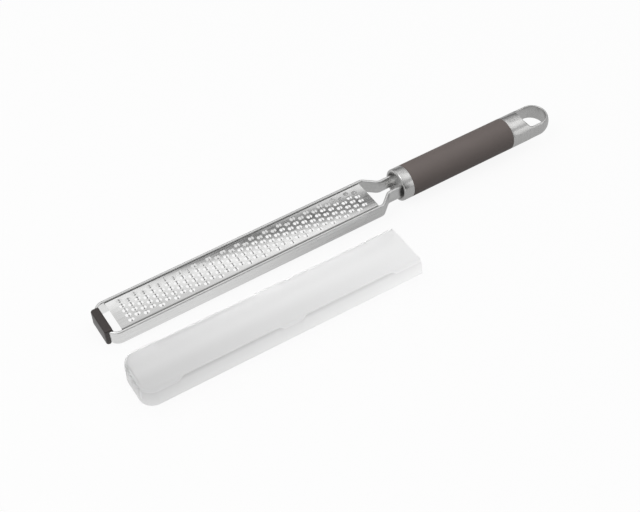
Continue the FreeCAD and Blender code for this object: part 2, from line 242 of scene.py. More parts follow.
def finished_mesh(bm, name, sharp_degrees, placement=None):
    """Welds, orients and shades a mesh, puts it in its place and returns it."""
    bmesh.ops.remove_doubles(bm, verts=bm.verts, dist=1e-7)
    bmesh.ops.dissolve_degenerate(bm, edges=bm.edges, dist=1e-7)
    bmesh.ops.recalc_face_normals(bm, faces=bm.faces)
    for face in bm.faces:
        face.smooth = True
    for edge in bm.edges:
        edge.smooth = edge.calc_face_angle(0.0) < math.radians(sharp_degrees)
    if placement:
        bm.transform(placement)
    mesh = bpy.data.meshes.new(name)
    bm.to_mesh(mesh)
    bm.free()
    return mesh


def add_piece(mesh, material, body, node):
    """Links a finished mesh as a piece that stands for one CAD node."""
    piece = bpy.data.objects.new(mesh.name, mesh)
    bpy.context.scene.collection.objects.link(piece)
    mesh.materials.clear()
    mesh.materials.append(material)
    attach(piece, body)
    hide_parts(node)
    return piece


def bridge(bm, rows, closed=True, capped=False):
    """Quads between neighbouring rows of vertices, which may close into rings and be capped at both ends."""
    size = len(rows[0])
    faces = []
    for first, second in zip(rows, rows[1:]):
        for k in range(size if closed else size - 1):
            n = (k + 1) % size
            faces.append(bm.faces.new((first[k], first[n], second[n], second[k])))
    if capped:
        bm.faces.new(rows[0])
        bm.faces.new(rows[-1])
    return faces


def unroll(faces, uv_layer, runs, girths, around=False):
    """Lays the faces between closed rings out flat, with U along the run or around the girth."""
    for index, face in enumerate(faces):
        i, k = divmod(index, len(girths) - 1)
        for loop, (ring, step) in zip(face.loops, ((i, k), (i, k + 1), (i + 1, k + 1), (i + 1, k))):
            place = (runs[ring], girths[step])
            loop[uv_layer].uv = place[::-1] if around else place


def running_lengths(points):
    """Distance along a line of points, from the first one to each of them."""
    lengths = [0.0]
    for first, second in zip(points, points[1:]):
        lengths.append(lengths[-1] + math.dist(first, second))
    return lengths


def even_steps(first, last, steps):
    """Numbers from one to another in even steps, both ends included."""
    return [first + (last - first) * step / steps for step in range(steps + 1)]


def arc(centre, radius, start, end, steps):
    """Points of an arc in two dimensions, both ends included."""
    across, up = centre
    turns = even_steps(start, end, steps)
    return [(across + radius * math.cos(turn), up + radius * math.sin(turn)) for turn in turns]


def flipped(points):
    """The same points backwards, with the second coordinate mirrored."""
    return [(first, -second) for first, second in reversed(points)]


def rounded_corners(corners, radii, steps):
    """Closed outline in two dimensions with its corners rounded, 0 for a sharp one."""
    points = []
    for index, (corner, radius) in enumerate(zip(corners, radii)):
        here = Vector(corner)
        if radius <= 0.0:
            points.append(here)
            continue
        back = (Vector(corners[index - 1]) - here).normalized()
        ahead = (Vector(corners[(index + 1) % len(corners)]) - here).normalized()
        half = back.angle(ahead) / 2
        middle = here + (back + ahead).normalized() * (radius / math.sin(half))
        first = here + back * (radius / math.tan(half)) - middle
        last = here + ahead * (radius / math.tan(half)) - middle
        for part in even_steps(0.0, 1.0, steps):
            points.append(middle + first.slerp(last, part) * radius)
    return points


# Node helpers

def fill(tree, sockets, values):
    """Fills inputs: a socket is linked to them, anything else is set on them."""
    for label, value in values.items():
        if isinstance(value, bpy.types.NodeSocket):
            tree.links.new(value, sockets[label])
        else:
            sockets[label].default_value = value


def wired(tree, kind, values, **options):
    """Outputs of a new node with its options set and its inputs filled."""
    node = tree.nodes.new(kind)
    for option, value in options.items():
        setattr(node, option, value)
    fill(tree, node.inputs, values)
    return node.outputs


def calc(tree, operation, first, second):
    return wired(tree, "ShaderNodeMath", {0: first, 1: second}, operation=operation)[0]


def vector(tree, x, y, z):
    return wired(tree, "ShaderNodeCombineXYZ", {"X": x, "Y": y, "Z": z})[0]


def noise(tree, place, scale, detail, roughness):
    values = {"Vector": place, "Scale": scale, "Detail": detail, "Roughness": roughness}
    return wired(tree, "ShaderNodeTexNoise", values)["Fac"]


def ramp(tree, value, span, levels, **options):
    """Value that runs from the first to the second level while another one crosses a span."""
    values = {"Value": value, "From Min": span[0], "From Max": span[1],
              "To Min": levels[0], "To Max": levels[1]}
    return wired(tree, "ShaderNodeMapRange", values, **options)["Result"]


def soft_step(tree, value, span, levels):
    return ramp(tree, value, span, levels, interpolation_type="SMOOTHSTEP")


def blend(tree, factor, first, second):
    """Colour between two others."""
    values = {"Factor": factor, "A": (*first, 1.0), "B": (*second, 1.0)}
    return wired(tree, "ShaderNodeMix", values, data_type="RGBA")["Result"]


def tone(tree, value, base, spread):
    """Colour that runs from a little darker to a little lighter than the base."""
    darker = [c * (1.0 - spread) for c in base]
    lighter = [min(c * (1.0 + spread), 1.0) for c in base]
    return blend(tree, value, darker, lighter)


def relief(tree, height, distance, strength, **below):
    """Bumped normal, on top of another Normal where one is given."""
    values = {"Height": height, "Distance": distance, "Strength": strength, **below}
    return wired(tree, "ShaderNodeBump", values)["Normal"]


# Shader groups and materials

def shader_group(name, numbers, results):
    """New shader group with a vector and named numbers as inputs and named values as outputs."""
    tree = bpy.data.node_groups.new(name, "ShaderNodeTree")
    tree.interface.new_socket("Vector", in_out="INPUT", socket_type="NodeSocketVector")
    for label, default in numbers.items():
        socket = tree.interface.new_socket(label, in_out="INPUT", socket_type="NodeSocketFloat")
        socket.default_value = default
    for label in results:
        tree.interface.new_socket(label, in_out="OUTPUT", socket_type="NodeSocketFloat")
    return tree, wired(tree, "NodeGroupInput", {}), tree.nodes.new("NodeGroupOutput").inputs


def brushed_group(name):
    """Fine parallel scratches that run along the first axis of the vector, and broad cloudy wear."""
    tree, enter, leave = shader_group(name, {"Fineness": 4000.0, "Stretch": 60.0}, ("Streaks", "Wear"))
    fine_share = 0.6
    across = enter["Fineness"]
    along = calc(tree, "DIVIDE", across, enter["Stretch"])
    scales = vector(tree, along, across, across)
    stretched = wired(tree, "ShaderNodeVectorMath", {0: enter["Vector"], 1: scales}, operation="MULTIPLY")[0]
    fine = noise(tree, stretched, scale=1.0, detail=3.0, roughness=0.65)
    coarse = noise(tree, stretched, scale=0.21, detail=2.0, roughness=0.5)
    streaks = calc(tree, "ADD", calc(tree, "MULTIPLY", fine, fine_share),
                   calc(tree, "MULTIPLY", coarse, 1.0 - fine_share))
    wear = noise(tree, enter["Vector"], scale=90.0, detail=4.0, roughness=0.6)
    fill(tree, leave, {"Streaks": streaks, "Wear": wear})
    return tree


def grain_group(name):
    """Moulded skin: fine pits with soft clouding, for rubber and plastic."""
    tree, enter, leave = shader_group(name, {"Grain Scale": 2500.0, "Cloud Scale": 60.0}, ("Grain", "Cloud"))
    place = enter["Vector"]
    pits = wired(tree, "ShaderNodeTexVoronoi", {"Vector": place, "Scale": enter["Grain Scale"]},
                 feature="SMOOTH_F1")
    cloud = noise(tree, place, enter["Cloud Scale"], detail=5.0, roughness=0.5)
    fill(tree, leave, {"Grain": pits["Distance"], "Cloud": cloud})
    return tree


def bow_group(name):
    """Height of a sheet that bulges up between its long edges."""
    tree, enter, leave = shader_group(name, {"Middle": 0.0, "Half Width": 0.01, "Bow": 0.0}, ("Height",))
    parts = wired(tree, "ShaderNodeSeparateXYZ", {0: enter["Vector"]})
    off_middle = calc(tree, "SUBTRACT", parts["Y"], enter["Middle"])
    reach = calc(tree, "DIVIDE", off_middle, enter["Half Width"])
    drop = calc(tree, "MULTIPLY", calc(tree, "MULTIPLY", reach, reach), enter["Bow"])
    fill(tree, leave, {"Height": calc(tree, "SUBTRACT", enter["Bow"], drop)})
    return tree


def placed_group(tree, name, build, coordinates, values):
    """A shader group in a material, fed by one of the coordinates that travel with the piece."""
    group = bpy.data.node_groups.get(name) or build(name)
    place = wired(tree, "ShaderNodeTexCoord", {})[coordinates]
    return wired(tree, "ShaderNodeGroup", {"Vector": place, **values}, node_tree=group)


def new_material(name):
    material = bpy.data.materials.new(name)
    material.use_nodes = True
    return material, material.node_tree, material.node_tree.nodes["Principled BSDF"]


def brushed_steel(name, base, coordinates, fineness, stretch, roughness, bow=None):
    """Stainless steel with scratches along the first coordinate, shaded as a bowed sheet if asked."""
    material, tree, shader = new_material(name)
    values = {"Fineness": fineness, "Stretch": stretch}
    marks = placed_group(tree, "Brushed Marks", brushed_group, coordinates, values)
    streaks = marks["Streaks"]
    streak_spread = 0.06
    wear_spread = 0.03
    below = {}
    if bow:
        bulge = placed_group(tree, "Sheet Bow", bow_group, "Object", bow)["Height"]
        below["Normal"] = relief(tree, bulge, distance=1.0, strength=1.0)
    scratched = ramp(tree, streaks, NOISE_SPAN, (roughness - streak_spread, roughness + streak_spread))
    worn = calc(tree, "ADD", scratched, ramp(tree, marks["Wear"], NOISE_SPAN, (-wear_spread, wear_spread)))
    fill(tree, shader.inputs, {
        "Metallic": 1.0,
        "Base Color": tone(tree, ramp(tree, streaks, NOISE_SPAN, (0.0, 1.0)), base, spread=0.14),
        "Roughness": worn,
        "Normal": relief(tree, streaks, distance=0.00001, strength=0.35, **below),
    })
    return material


def moulded(name, base, grain_scale, roughness, depth):
    """Matt rubber or plastic with a spark-eroded skin."""
    material, tree, shader = new_material(name)
    skin = placed_group(tree, "Moulded Grain", grain_group, "Object", {"Grain Scale": grain_scale})
    sheen_spread = 0.05
    sheens = (roughness - sheen_spread, roughness + sheen_spread)
    fill(tree, shader.inputs, {
        "Base Color": tone(tree, skin["Cloud"], base, spread=0.08),
        "Roughness": ramp(tree, skin["Cloud"], NOISE_SPAN, sheens),
        "Normal": relief(tree, skin["Grain"], depth, strength=0.5),
    })
    return material


def frosted_plastic(name, painted_shade, thin, attribute):
    """Milky translucent moulding, with painted light and shade from the attribute: lighter where it is
    higher.
    """
    material, tree, shader = new_material(name)
    scales = {"Grain Scale": 1800.0, "Cloud Scale": 25.0}
    skin = placed_group(tree, "Moulded Grain", grain_group, "Object", scales)
    # Painted light and shade, read from the vertex attribute
    wall = wired(tree, "ShaderNodeAttribute", {}, attribute_name=attribute)["Fac"]
    fill(tree, shader.inputs, {
        "Base Color": blend(tree, wall, painted_shade, thin),
        "Roughness": ramp(tree, skin["Cloud"], NOISE_SPAN, (0.4, 0.5)),
        "Normal": relief(tree, skin["Grain"], distance=0.00002, strength=0.2),
        "IOR": 1.1,
        "Transmission Weight": 0.95,
    })
    return material


# Pieces

def bent_stations(corners, radii, arc_steps):
    """Points and directions along straight runs joined by arcs, in plan."""
    corners = [Vector(corner) for corner in corners]
    stations = [(corners[0], (corners[1] - corners[0]).normalized())]
    for before, here, after, radius in zip(corners, corners[1:], corners[2:], radii):
        into = (here - before).normalized()
        turn = into.angle_signed((after - here).normalized())
        reach = radius * math.tan(abs(turn) / 2)
        side = Vector((into.y, -into.x)) * math.copysign(radius, turn)
        middle = here - into * reach + side
        for part in even_steps(0.0, -turn, arc_steps):
            swing = Matrix.Rotation(part, 2)
            stations.append((middle - swing @ side, (swing @ into).normalized()))
    stations.append((corners[-1], (corners[-1] - corners[-2]).normalized()))
    return stations


def strap_section(half_thickness, low, high, edge_round):
    corners = [(-half_thickness, low), (half_thickness, low), (half_thickness, high), (-half_thickness, high)]
    return rounded_corners(corners, [edge_round] * 4, 4)


class ZESTER_OT_add_frame(bpy.types.Operator):
    """Bend the steel strap into nose, rails, neck and prongs"""

    bl_idname = "zester.add_frame"
    bl_label = "Blade frame"

    def execute(self, context):
        scene = context.scene
        strap = scene.zester_frame
        neck_start, neck_end = neck_stations(scene)
        half = strap.thickness / 2
        rail = strap.width / 2 - half
        prong = strap.prong_spacing / 2
        mouth_floor = handle_stations(scene)["floor"]
        upper = [(mouth_floor, prong), (neck_end, prong), (neck_start, rail), (half, rail)]
        bends = [strap.neck_bend, strap.neck_bend, strap.nose_bend]
        stations = bent_stations(upper + flipped(upper), bends + bends[::-1], 12)

        axis = scene.zester_handle.axis_height
        tang = strap.tang_height / 2
        full = strap_section(half, 0.0, strap.height, strap.edge_round)
        tail = strap_section(half, axis - tang, axis + tang, strap.edge_round)
        reach = Vector((strap.tang_length, 0.0))
        (start, into), (end, out) = stations[0], stations[-1]
        places = [(start + reach, into, tail), (start, into, tail)]
        places += [(point, direction, full) for point, direction in stations]
        places += [(end, out, tail), (end + reach, out, tail)]

        bm = bmesh.new()
        uv_layer = bm.loops.layers.uv.new("brush")
        rings = []
        for point, direction, section in places:
            left = Vector((-direction.y, direction.x))
            rings.append([bm.verts.new((*(point + left * offset), height)) for offset, height in section])
        runs = running_lengths([point for point, _, _ in places])
        unroll(bridge(bm, rings, capped=True), uv_layer, runs, running_lengths(full + full[:1]))
        mesh = finished_mesh(bm, "blade_frame_bent", sharp_degrees=35, placement=tool_placement(strap))
        material = brushed_steel("frame_steel_brushed", strap.steel, "UV", fineness=5000.0, stretch=80.0,
                                 roughness=0.30)
        add_piece(mesh, material, "zester", "blade_frame")
        return {"FINISHED"}


def strap_face_at(y, bend_radius, bend_middle, front):
    """How far back a face of the nose has curved at one place across it."""
    beyond = max(abs(y) - bend_middle, 0.0)
    return front + bend_radius - math.sqrt(bend_radius * bend_radius - beyond * beyond)


class ZESTER_OT_add_foot(bpy.types.Operator):
    """Mould the rubber clip over the nose"""

    bl_idname = "zester.add_foot"
    bl_label = "Nose foot"

    # From the underside of the front wall through the groove to the top's front edge
    corner_radii = (0.0006, 0.0006, 0.0, 0.0, 0.0001, 0.0001, 0.0008, 0.0012)
    straight_shares = (0.8, 0.7, 0.6, 0.4, 0.2, 0.0)
    top_fall = 0.5

    def execute(self, context):
        strap = context.scene.zester_frame
        half = strap.foot_width / 2
        end_round = strap.foot_end_round
        outer_bend = strap.nose_bend + strap.thickness / 2
        inner_bend = strap.nose_bend - strap.thickness / 2
        bend_middle = strap.width / 2 - outer_bend
        stations = arc((half - end_round, end_round), end_round, 0.0, -QUARTER, 8)
        stations += [(half * part, 0.0) for part in self.straight_shares]
        stations += [(-y, inset) for y, inset in reversed(stations[:-1])]
        low = -strap.foot_drop
        groove_top = strap.height + strap.foot_fit
        lip = strap.height - strap.foot_lip_depth

        bm = bmesh.new()
        rings = []
        for y, inset in stations:
            front = -strap.foot_front + inset
            groove_front = strap_face_at(y, outer_bend, bend_middle, 0.0) - strap.foot_fit
            groove_rear = strap_face_at(y, inner_bend, bend_middle, strap.thickness) + strap.foot_fit
            rear = max(strap.thickness + strap.foot_lip - inset, groove_rear + strap.foot_lip_least)
            top = strap.height + strap.foot_top - inset * self.top_fall
            corners = [(front, low), (groove_front, low), (groove_front, groove_top),
                       (groove_rear, groove_top), (groove_rear, lip), (rear, lip), (rear, top), (front, top)]
            outline = rounded_corners(corners, self.corner_radii, 5)
            rings.append([bm.verts.new((x, y, z)) for x, z in outline])
        bridge(bm, rings, capped=True)
        mesh = finished_mesh(bm, "nose_foot_moulded", sharp_degrees=40, placement=tool_placement(strap))
        material = moulded("foot_rubber_matt", strap.rubber, grain_scale=3500.0, roughness=0.45,
                           depth=0.00004)
        add_piece(mesh, material, "zester", "nose_foot")
        return {"FINISHED"}


def tooth_mesh(blade, width, tooth_length):
    """One pressed-up bridge with a ground edge fore and aft, centred over its window."""
    edge = tooth_length / 2
    keel = edge * blade.tooth_keel_share
    tip = edge * math.tan(blade.tooth_lean)
    squareness = 6
    bm = bmesh.new()
    rings = []
    for across in even_steps(-1.0, 1.0, 12):
        rise = blade.tooth_height * (1.0 - abs(across) ** squareness)
        under = rise - blade.thickness
        section = ((-edge, rise + tip), (edge, rise - tip), (keel, under), (-keel, under))
        rings.append([bm.verts.new((x, width / 2 * across, z)) for x, z in section])
    bridge(bm, rings)
    return finished_mesh(bm, "rasp_tooth", sharp_degrees=35)


def flange_mesh(blade, half_width, flat_half, level):
    """Both turned-down long edges of the sheet."""
    inner = blade.flange_bend
    outer = inner + blade.thickness
    pivot = (flat_half, level - outer)
    edge = level - blade.flange_drop
    profile = arc(pivot, outer, QUARTER, 0.0, 8)
    profile += [(half_width, edge), (half_width - blade.thickness, edge)]
    profile += arc(pivot, inner, 0.0, QUARTER, 8)
    bm = bmesh.new()
    for side in (-1.0, 1.0):
        rings = []
        for x in (blade.setback, blade.setback + blade.length):
            rings.append([bm.verts.new((x, side * y, z)) for y, z in profile])
        bridge(bm, rings, capped=True)
    return finished_mesh(bm, "blade_flanges", sharp_degrees=35)


def joined(tree, *parts):
    node = tree.nodes.new("GeometryNodeJoinGeometry")
    for part in parts:
        tree.links.new(part, node.inputs[0])
    return node.outputs[0]


def rasp_sheet_nodes():
    """Geometry nodes: a flat sheet, its staggered windows and a tooth over each of them."""
    tree = bpy.data.node_groups.new("Rasp Sheet", "GeometryNodeTree")
    inputs = {
        "Geometry": ("Flanges",),
        "Float": ("Length", "Width", "Thickness", "Front", "Level", "First Row", "Row Pitch", "Column Pitch",
                  "Window Length", "Window Width", "Window Corner"),
        "Int": ("Rows", "Teeth"),
        "Object": ("Tooth",),
        "Material": ("Material",),
    }
    for kind, labels in inputs.items():
        for label in labels:
            tree.interface.new_socket(label, in_out="INPUT", socket_type="NodeSocket" + kind)
    tree.interface.new_socket("Sheet", in_out="OUTPUT", socket_type="NodeSocketGeometry")
    enter = wired(tree, "NodeGroupInput", {})
    leave = tree.nodes.new("NodeGroupOutput").inputs
    level = enter["Level"]
    in_row = enter["Teeth"]

    # Spots of the teeth, every second row shifted by half a step and one tooth shorter
    index = wired(tree, "GeometryNodeInputIndex", {})[0]
    row = calc(tree, "FLOOR", calc(tree, "DIVIDE", index, in_row), 0.0)
    column = calc(tree, "SUBTRACT", index, calc(tree, "MULTIPLY", row, in_row))
    odd = calc(tree, "MODULO", row, 2.0)
    middle = calc(tree, "DIVIDE", calc(tree, "SUBTRACT", in_row, 1.0), 2.0)
    shift = calc(tree, "DIVIDE", odd, 2.0)
    step = calc(tree, "ADD", calc(tree, "SUBTRACT", column, middle), shift)
    first = calc(tree, "ADD", enter["Front"], enter["First Row"])
    along = calc(tree, "ADD", first, calc(tree, "MULTIPLY", row, enter["Row Pitch"]))
    place = vector(tree, along, calc(tree, "MULTIPLY", step, enter["Column Pitch"]), level)
    total = calc(tree, "MULTIPLY", enter["Rows"], in_row)
    points = wired(tree, "GeometryNodePoints", {"Count": total, "Position": place})[0]
    last_column = calc(tree, "SUBTRACT", in_row, 1.5)
    beyond = calc(tree, "MULTIPLY", odd, calc(tree, "GREATER_THAN", column, last_column))
    spots = wired(tree, "GeometryNodeDeleteGeometry", {"Geometry": points, "Selection": beyond},
                  domain="POINT")[0]

    # Outline of the sheet and of its windows, filled and thickened downwards
    oblong = "GeometryNodeCurvePrimitiveQuadrilateral"
    square = wired(tree, oblong, {"Width": enter["Window Length"], "Height": enter["Window Width"]})[0]
    corners = {"Curve": square, "Radius": enter["Window Corner"], "Count": 4, "Limit Radius": True}
    window = wired(tree, "GeometryNodeFilletCurve", corners, mode="POLY")[0]
    windows = wired(tree, "GeometryNodeInstanceOnPoints", {"Points": spots, "Instance": window})[0]
    cuts = wired(tree, "GeometryNodeRealizeInstances", {0: windows})[0]
    border = wired(tree, oblong, {"Width": enter["Length"], "Height": enter["Width"]})[0]
    half_way = calc(tree, "ADD", enter["Front"], calc(tree, "DIVIDE", enter["Length"], 2.0))
    centre = vector(tree, half_way, 0.0, level)
    placed = wired(tree, "GeometryNodeTransform", {"Geometry": border, "Translation": centre})[0]
    filled = wired(tree, "GeometryNodeFillCurve", {"Curve": joined(tree, cuts, placed)})[0]
    lift = vector(tree, 0.0, 0.0, level)
    lifted = wired(tree, "GeometryNodeTransform", {"Geometry": filled, "Translation": lift})[0]
    downwards = vector(tree, 0.0, 0.0, calc(tree, "MULTIPLY", enter["Thickness"], -1.0))
    walls = wired(tree, "GeometryNodeExtrudeMesh",
                  {"Mesh": lifted, "Offset": downwards, "Individual": False})["Mesh"]
    sheet = wired(tree, "GeometryNodeMergeByDistance",
                  {"Geometry": joined(tree, lifted, walls), "Distance": 0.000001})[0]

    tooth = wired(tree, "GeometryNodeObjectInfo", {"Object": enter["Tooth"]})["Geometry"]
    teeth = wired(tree, "GeometryNodeInstanceOnPoints", {"Points": spots, "Instance": tooth})[0]
    everything = joined(tree, enter["Flanges"], sheet, teeth)
    realized = wired(tree, "GeometryNodeRealizeInstances", {0: everything})[0]
    dressed = wired(tree, "GeometryNodeSetMaterial", {"Geometry": realized, "Material": enter["Material"]})[0]
    fill(tree, leave, {"Sheet": dressed})
    return tree


class ZESTER_OT_add_blade(bpy.types.Operator):
    """Lay out the toothed sheet with its windows, teeth and flanges"""

    bl_idname = "zester.add_blade"
    bl_label = "Rasp blade"

    def execute(self, context):
        scene = context.scene
        blade = scene.zester_blade
        strap = scene.zester_frame
        placement = tool_placement(strap)
        half_width = strap.width / 2 - strap.thickness - blade.slot
        flat_half = half_width - blade.flange_bend - blade.thickness
        level = strap.height - blade.depth
        row_pitch = (blade.length - blade.first_row - blade.last_row) / (blade.rows - 1)
        column_pitch = 2 * (flat_half - blade.side_margin) / (blade.teeth - 1 + blade.window_width_share)
        window_length = row_pitch * blade.window_length_share
        window_width = column_pitch * blade.window_width_share
        bow = {"Middle": placement.translation.y, "Half Width": flat_half, "Bow": blade.bow}
        material = brushed_steel("blade_steel_polished", blade.steel, "Object", fineness=4500.0, stretch=70.0,
                                 roughness=0.13, bow=bow)
        tooth = bpy.data.objects.new(
            "rasp_tooth", tooth_mesh(blade, window_width, window_length * blade.tooth_length_share))
        maker = bpy.data.objects.new("rasp_sheet_maker", flange_mesh(blade, half_width, flat_half, level))
        for helper in (tooth, maker):
            scene.collection.objects.link(helper)
        tree = rasp_sheet_nodes()
        modifier = maker.modifiers.new("Rasp Sheet", "NODES")
        modifier.node_group = tree
        values = {
            "Length": blade.length, "Width": 2 * flat_half, "Thickness": blade.thickness,
            "Front": blade.setback, "Level": level, "First Row": blade.first_row, "Row Pitch": row_pitch,
            "Column Pitch": column_pitch, "Window Length": window_length, "Window Width": window_width,
            "Window Corner": blade.window_corner, "Rows": blade.rows, "Teeth": blade.teeth,
            "Tooth": tooth, "Material": material,
        }
        for socket in tree.interface.items_tree:
            if socket.name in values:
                modifier[socket.identifier] = values[socket.name]
        evaluated = maker.evaluated_get(context.evaluated_depsgraph_get())
        mesh = bpy.data.meshes.new_from_object(evaluated)
        mesh.name = "rasp_blade_etched"
        mesh.transform(placement)
        maker.modifiers.remove(modifier)
        bpy.data.objects.remove(maker)
        bpy.data.objects.remove(tooth)
        if len(mesh.polygons) < blade.rows * blade.teeth:
            raise RuntimeError("The rasp sheet came out without its windows")
        add_piece(mesh, material, "zester", "rasp_blade")
        return {"FINISHED"}


def handle_steel(handle):
    """Steel of ferrule and cap, made once for both."""
    name = "handle_steel_brushed"
    made = bpy.data.materials.get(name)
    return made or brushed_steel(name, handle.steel, "UV", fineness=5000.0, stretch=60.0, roughness=0.27)


def turned_mesh(scene, name, profile):
    """Piece turned about the handle's axis, from points (place along the axis, radius)."""
    axis = scene.zester_handle.axis_height
    segments = 96
    bm = bmesh.new()
    uv_layer = bm.loops.layers.uv.new("brush")
    rings = []
    for x, radius in profile:
        circle = arc((0.0, axis), radius, -QUARTER, 3 * QUARTER, segments)[:-1]
        rings.append([bm.verts.new((x, y, z)) for y, z in circle])
    widest = max(radius for _, radius in profile)
    girths = even_steps(0.0, 2 * math.pi * widest, segments)
    unroll(bridge(bm, rings), uv_layer, running_lengths(profile), girths, around=True)
    return finished_mesh(bm, name, sharp_degrees=40, placement=tool_placement(scene.zester_frame))


class ZESTER_OT_add_ferrule(bpy.types.Operator):
    """Turn the steel cup at the front of the handle"""

    bl_idname = "zester.add_ferrule"
    bl_label = "Front ferrule"

    def execute(self, context):
        scene = context.scene
        handle = scene.zester_handle
        at = handle_stations(scene)
        lip = handle.lip_round
        inner = handle.mouth_round
        edge = handle.joint_round
        mouth = handle.mouth_radius
        outside = handle.radius
        back = at["floor"] + handle.floor_thickness
        profile = [(at["floor"], 0.0), (at["floor"], mouth - inner)]
        profile += arc((at["floor"] - inner, mouth - inner), inner, 0.0, QUARTER, 6)[1:]
        profile += arc((at["ferrule"] + inner, mouth + inner), inner, -QUARTER, -math.pi, 6)
        profile += arc((at["ferrule"] + lip, outside - lip), lip, math.pi, QUARTER, 12)
        profile += arc((at["grip"] - edge, outside - edge), edge, QUARTER, 0.0, 4)
        profile += [(at["grip"], handle.bore_radius), (back, handle.bore_radius), (back, 0.0)]
        mesh = turned_mesh(scene, "front_ferrule_turned", profile)
        add_piece(mesh, handle_steel(handle), "zester", "front_ferrule")
        return {"FINISHED"}


class ZESTER_OT_add_grip(bpy.types.Operator):
    """Turn the matt grip between ferrule and cap"""

    bl_idname = "zester.add_grip"
    bl_label = "Grip sleeve"

    def execute(self, context):
        scene = context.scene
        handle = scene.zester_handle
        at = handle_stations(scene)
        edge = handle.joint_round
        rim = handle.radius - edge
        profile = [(at["grip"], handle.bore_radius)]
        profile += arc((at["grip"] + edge, rim), edge, math.pi, QUARTER, 4)
        profile += arc((at["cap"] - edge, rim), edge, QUARTER, 0.0, 4)
        profile += [(at["cap"], handle.bore_radius), (at["grip"], handle.bore_radius)]
        mesh = turned_mesh(scene, "grip_sleeve_turned", profile)
        material = moulded("grip_plastic_matt", handle.grip, grain_scale=2600.0, roughness=0.58,
                           depth=0.00005)
        add_piece(mesh, material, "zester", "grip_sleeve")
        return {"FINISHED"}


class CapShape:
    """Half sections of the rear cap, from the round front to the flat hanging eye."""

    FLAT_STEPS = 4
    ROUND_STEPS = 4
    SIDE_STEPS = 20
    SOFT_LIMIT = 0.3

    def __init__(self, scene):
        handle = scene.zester_handle
        at = handle_stations(scene)
        self.radius = handle.radius
        self.front = at["cap"]
        self.scoop = at["cap"] + handle.scoop_start
        self.tongue = at["cap"] + handle.tongue_start
        self.half_tongue = handle.tongue_height / 2
        self.centre = at["end"] - handle.radius
        self.eye = at["cap"] + handle.eye_front
        self.corner = handle.eye_corner
        self.eye_half = handle.radius - handle.eye_wall
        run = self.tongue - self.scoop
        rise = self.radius - self.half_tongue
        self.hollow = (run * run + rise * rise) / (2 * rise)
        self.eye_height = self.half_height(self.eye)
        self.split = self.eye_side(self.eye) / self.flat_end(self.eye_height)

    def half_height(self, x):
        """Half the height of the flats at one place, the full radius ahead of the scoops."""
        if x <= self.scoop:
            return self.radius
        ahead = max(self.tongue - x, 0.0)
        return self.half_tongue + self.hollow - math.sqrt(self.hollow ** 2 - ahead ** 2)

    def eye_side(self, x):
        """Half the width of the eye at one place ahead of its round end."""
        ahead = max(self.eye + self.corner - x, 0.0)
        return self.eye_half - self.corner + math.sqrt(max(self.corner ** 2 - ahead ** 2, 0.0))

    def flat_end(self, height):
        """Half the width of a flat at one height."""
        return math.sqrt(max(self.radius ** 2 - height ** 2, 0.0))

    def section(self, height, inner=0.0, rounding=0.0):
        """From the top's inner edge round the outside to the bottom's, then up the eye's wall if any."""
        flat_end = self.flat_end(height)
        soft = min(rounding, (flat_end - inner) * self.SOFT_LIMIT)
        start = math.asin(min((height - soft) / self.radius, 1.0))
        first = inner + soft
        last = max(flat_end - soft, 0.0)
        split = max(self.split * flat_end, first)
        upper = [(first, height)]
        upper += [(y, height) for y in even_steps(split, last, self.FLAT_STEPS)]
        knee = Vector((flat_end, height))
        shoulder = Vector((self.radius * math.cos(start), self.radius * math.sin(start)))
        for t in even_steps(0.0, 1.0, self.ROUND_STEPS)[1:-1]:
            upper.append(tuple(Vector((last, height)).lerp(knee, t).lerp(knee.lerp(shoulder, t), t)))
        ring = upper + arc((0.0, 0.0), self.radius, start, -start, self.SIDE_STEPS) + flipped(upper)
        if inner > 0.0:
            wall = arc((inner + soft, soft - height), soft, -1.25 * QUARTER, -2 * QUARTER, 3)
            ring += wall + flipped(wall)
        return ring


